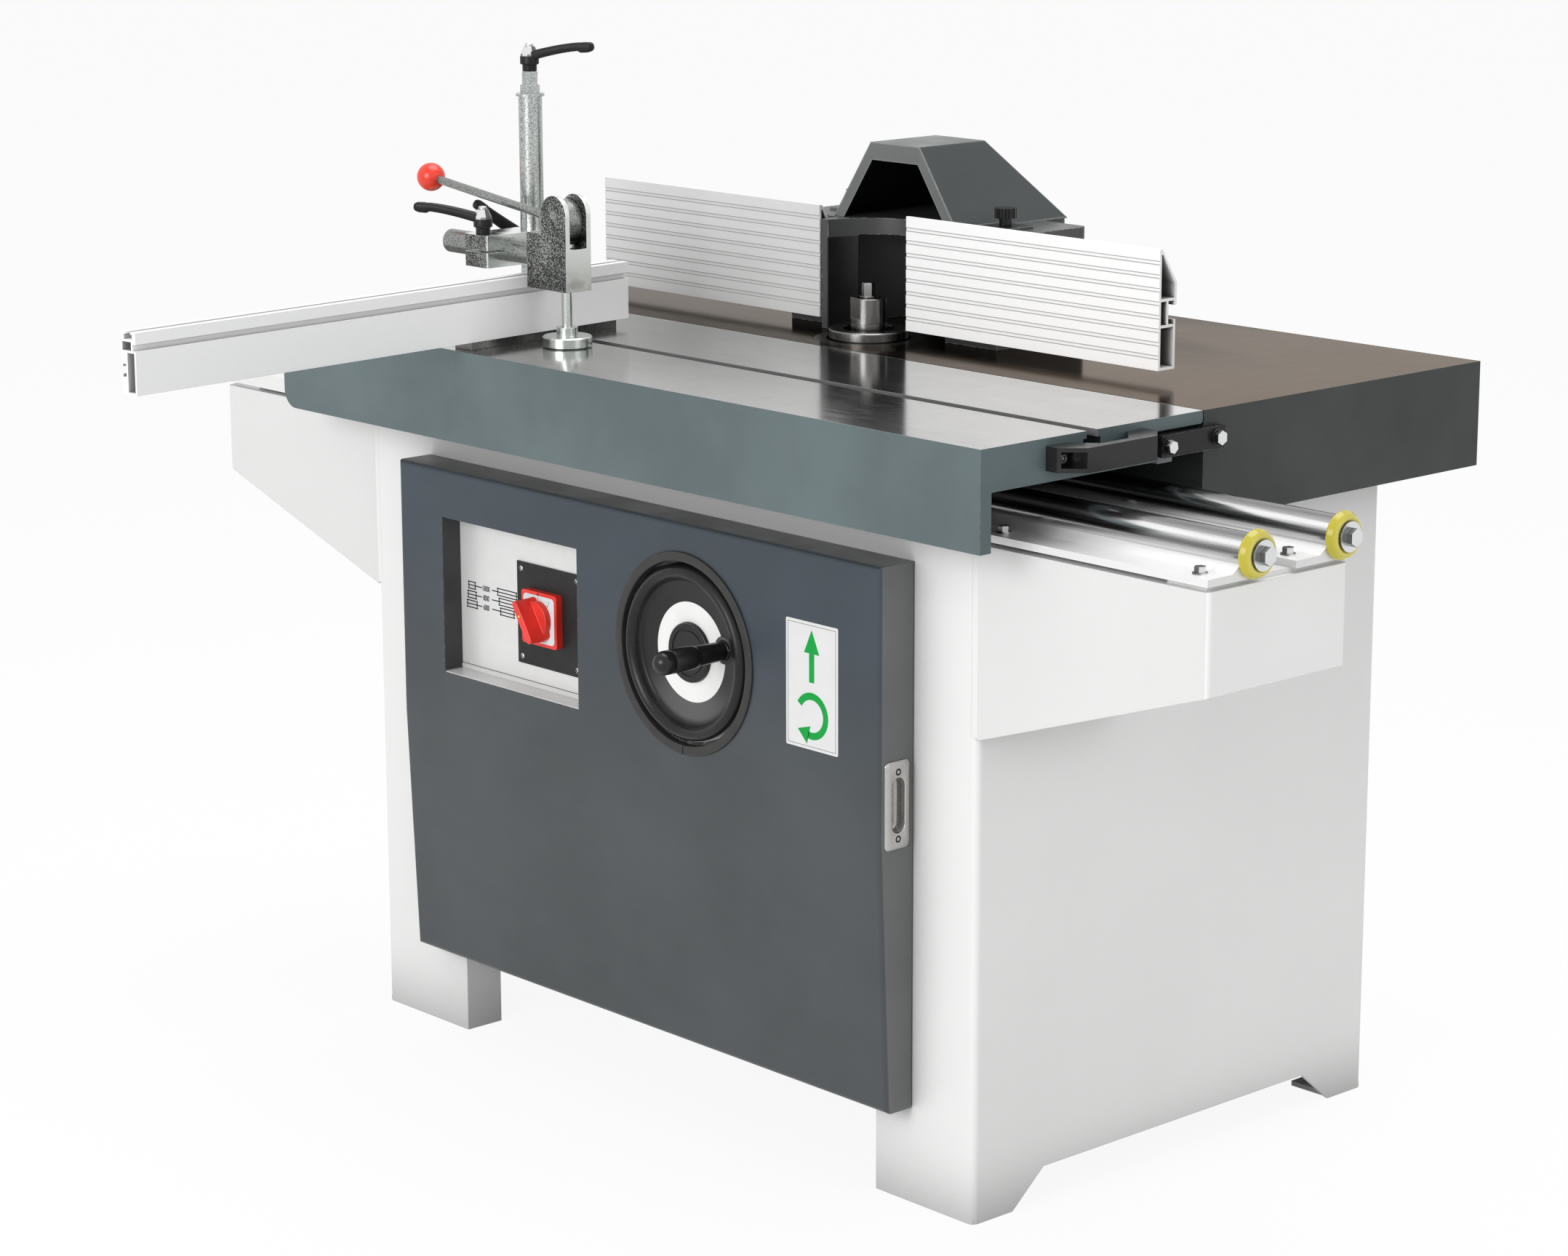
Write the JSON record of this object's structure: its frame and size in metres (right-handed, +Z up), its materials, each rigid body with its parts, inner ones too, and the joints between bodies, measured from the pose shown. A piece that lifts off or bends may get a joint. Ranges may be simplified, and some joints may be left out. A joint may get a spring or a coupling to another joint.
{
  "type": "spindle moulder with sliding table",
  "caption": "Spindle moulder with a cast table, a sliding table on round rails, a mitre fence and hold-down clamp, a split fence under a hood, and a handwheel that lifts the spindle.",
  "frame": {"origin": "on the floor under the middle of the cabinet's plan", "axes": "+Z up, +X along the tables to the operator's right, +Y away from the operator, from the sliding table to the fence"},
  "size_m": [1.719, 1.2774, 1.2147],
  "materials": {
    "cabinet_paint": "satin paint",
    "door_paint": "fine textured paint",
    "hood_paint": "satin paint",
    "ground_iron": "ground top, painted sides",
    "casing_iron": "dark paint",
    "machine_iron": "grey primer",
    "aluminium": "anodised",
    "bright_steel": "bright",
    "zinc": "bright zinc",
    "fasteners": "zinc plated",
    "black_steel": "black",
    "black_plastic": "matt black",
    "red_plastic": "gloss red",
    "stop_plastic": "yellow polyurethane",
    "belt_rubber": "matt black"
  },
  "bodies": {
    "frame": {"cabinet_body": "cabinet_paint", "side_arms": "cabinet_paint", "main_table": "ground_iron", "table_insert_ring": "ground_iron", "rail_holders": "aluminium", "guide_rails": "bright_steel", "stop_discs": "stop_plastic", "hex_bolts": "fasteners", "guide_columns": "bright_steel", "column_base": "machine_iron", "hinge_pins": "fasteners"},
    "lock": {"lock_bar": "black_steel"},
    "carriage": {"spindle_carriage": "machine_iron", "spindle_quill": "bright_steel", "spindle_bearings": "bright_steel", "motor_plate": "machine_iron", "motor_body": "aluminium", "drive_belt": "belt_rubber"},
    "spindle": {"spindle_shaft": "bright_steel", "spindle_pulley": "machine_iron", "spacer_rings": "bright_steel", "spindle_bolt": "bright_steel"},
    "rotor": {"motor_shaft": "bright_steel", "motor_pulley": "machine_iron"},
    "screw": {"lift_screw": "bright_steel", "screw_gear": "bright_steel"},
    "wheel": {"handwheel": "black_plastic", "cross_shaft": "bright_steel", "bevel_pinion": "bright_steel"},
    "grip": {"wheel_grip": "black_plastic"},
    "door": {"door_panel": "door_paint", "door_pull": "black_plastic", "door_trim": "belt_rubber", "switch_plate": "black_plastic", "switch_base": "red_plastic"},
    "switch": {"switch_knob": "red_plastic"},
    "table": {"sliding_table": "ground_iron", "axle_brackets": "machine_iron", "table_handle": "black_plastic", "clamp_post": "zinc"},
    "rollers_left": {"wheelset_left": "bright_steel"},
    "rollers_right": {"wheelset_right": "bright_steel"},
    "mitre": {"mitre_fence": "aluminium", "mitre_base": "bright_steel"},
    "top_lever": {"post_lever": "black_plastic"},
    "block": {"cross_block": "zinc"},
    "front_lever": {"bar_lever": "black_plastic"},
    "side_lever": {"block_lever": "black_plastic"},
    "fork": {"fork_head": "zinc", "clamp_bar": "zinc"},
    "cam": {"cam_lever": "zinc", "lever_ball": "red_plastic"},
    "foot": {"plunger": "zinc"},
    "casing": {"fence_casing": "casing_iron", "fence_bolts": "fasteners", "fence_hood": "hood_paint"},
    "plate_right": {"fence_plate_right": "aluminium"},
    "plate_left": {"fence_plate_left": "aluminium"},
    "knob_right": {"hood_knob_right": "black_plastic"},
    "knob_left": {"hood_knob_left": "black_plastic"}
  },
  "joints": [
    {"name": "table_slide", "type": "slide", "parent": "frame", "child": "table", "axis": [1, 0, 0], "range_m": [-0.54, 0.3]},
    {"name": "left_rollers_turn", "type": "hinge", "parent": "table", "child": "rollers_left", "pos_m": [-0.25, -0.192, 0.8123], "axis": [0, 1, 0], "continuous": true},
    {"name": "right_rollers_turn", "type": "hinge", "parent": "table", "child": "rollers_right", "pos_m": [0.25, -0.192, 0.8123], "axis": [0, 1, 0], "continuous": true},
    {"name": "lock_swing", "type": "hinge", "parent": "frame", "child": "lock", "pos_m": [0.6055, -0.056, 0.84075], "axis": [-1, 0, 0], "range_deg": [0, 180]},
    {"name": "mitre_swivel", "type": "hinge", "parent": "table", "child": "mitre", "pos_m": [-0.2705, -0.17, 0.87], "axis": [0, 0, 1], "range_deg": [-10, 2]},
    {"name": "post_lever_turn", "type": "hinge", "parent": "table", "child": "top_lever", "pos_m": [-0.3125, -0.24, 1.18], "axis": [0, 0, 1], "range_deg": [-60, 60]},
    {"name": "block_lift", "type": "slide", "parent": "table", "child": "block", "axis": [0, 0, 1], "range_m": [0, 0.1]},
    {"name": "bar_lever_turn", "type": "hinge", "parent": "block", "child": "front_lever", "pos_m": [-0.3125, -0.314, 1], "axis": [0, 0, 1], "range_deg": [-40, 40]},
    {"name": "block_lever_turn", "type": "hinge", "parent": "block", "child": "side_lever", "pos_m": [-0.34, -0.218, 0.9735], "axis": [1, 0, 0], "range_deg": [-25, 10]},
    {"name": "bar_slide", "type": "slide", "parent": "block", "child": "fork", "axis": [1, 0, 0], "range_m": [0, 0.05]},
    {"name": "cam_turn", "type": "hinge", "parent": "fork", "child": "cam", "pos_m": [-0.191, -0.288, 1.0245], "axis": [0, 1, 0], "range_deg": [0, 55]},
    {"name": "foot_press", "type": "slide", "parent": "fork", "child": "foot", "axis": [0, 0, 1], "range_m": [0, 0.0108]},
    {"name": "door_swing", "type": "hinge", "parent": "frame", "child": "door", "pos_m": [-0.417, -0.3333, 0.41], "axis": [0, 0, -1], "range_deg": [0, 105]},
    {"name": "switch_turn", "type": "hinge", "parent": "door", "child": "switch", "pos_m": [-0.164, -0.36, 0.56], "axis": [0, 1, 0], "range_deg": [-60, 60]},
    {"name": "wheel_turn", "type": "hinge", "parent": "frame", "child": "wheel", "pos_m": [0.112, -0.365, 0.57], "axis": [0, 1, 0], "range_deg": [-5760, 1440]},
    {"name": "grip_turn", "type": "hinge", "parent": "wheel", "child": "grip", "pos_m": [0.16873, -0.43, 0.58206], "axis": [0, 1, 0], "continuous": true},
    {"name": "screw_turn", "type": "hinge", "parent": "frame", "child": "screw", "pos_m": [0.112, 0.06, 0.57], "axis": [0, 0, 1], "range_deg": [-1440, 5760]},
    {"name": "spindle_lift", "type": "slide", "parent": "frame", "child": "carriage", "axis": [0, 0, 1], "range_m": [-0.08, 0.02]},
    {"name": "motor_spin", "type": "hinge", "parent": "carriage", "child": "rotor", "pos_m": [-0.265, 0.014, 0.57], "axis": [0, 0, 1], "continuous": true},
    {"name": "spindle_spin", "type": "hinge", "parent": "carriage", "child": "spindle", "pos_m": [0, 0.014, 0.57], "axis": [0, 0, 1], "continuous": true},
    {"name": "casing_slide", "type": "slide", "parent": "frame", "child": "casing", "axis": [0, 1, 0], "range_m": [-0.03, 0.05]},
    {"name": "right_plate_slide", "type": "slide", "parent": "casing", "child": "plate_right", "axis": [1, 0, 0], "range_m": [-0.004, 0.06]},
    {"name": "left_plate_slide", "type": "slide", "parent": "casing", "child": "plate_left", "axis": [1, 0, 0], "range_m": [-0.044, 0.002]},
    {"name": "right_knob_turn", "type": "hinge", "parent": "casing", "child": "knob_right", "pos_m": [0.126, 0.1133, 1.015], "axis": [0, 0, 1], "continuous": true},
    {"name": "left_knob_turn", "type": "hinge", "parent": "casing", "child": "knob_left", "pos_m": [-0.126, 0.1133, 1.015], "axis": [0, 0, 1], "continuous": true}
  ],
  "couplings": [
    {"joint": "left_rollers_turn", "follows": "table_slide", "rad_per_m": 83.333},
    {"joint": "right_rollers_turn", "follows": "table_slide", "rad_per_m": 83.333},
    {"joint": "foot_press", "follows": "cam_turn", "m_per_rad": 0.01104},
    {"joint": "screw_turn", "follows": "wheel_turn", "ratio": -1},
    {"joint": "spindle_lift", "follows": "wheel_turn", "m_per_rad": 0.00079577},
    {"joint": "spindle_spin", "follows": "motor_spin", "ratio": 1.1556}
  ]
}
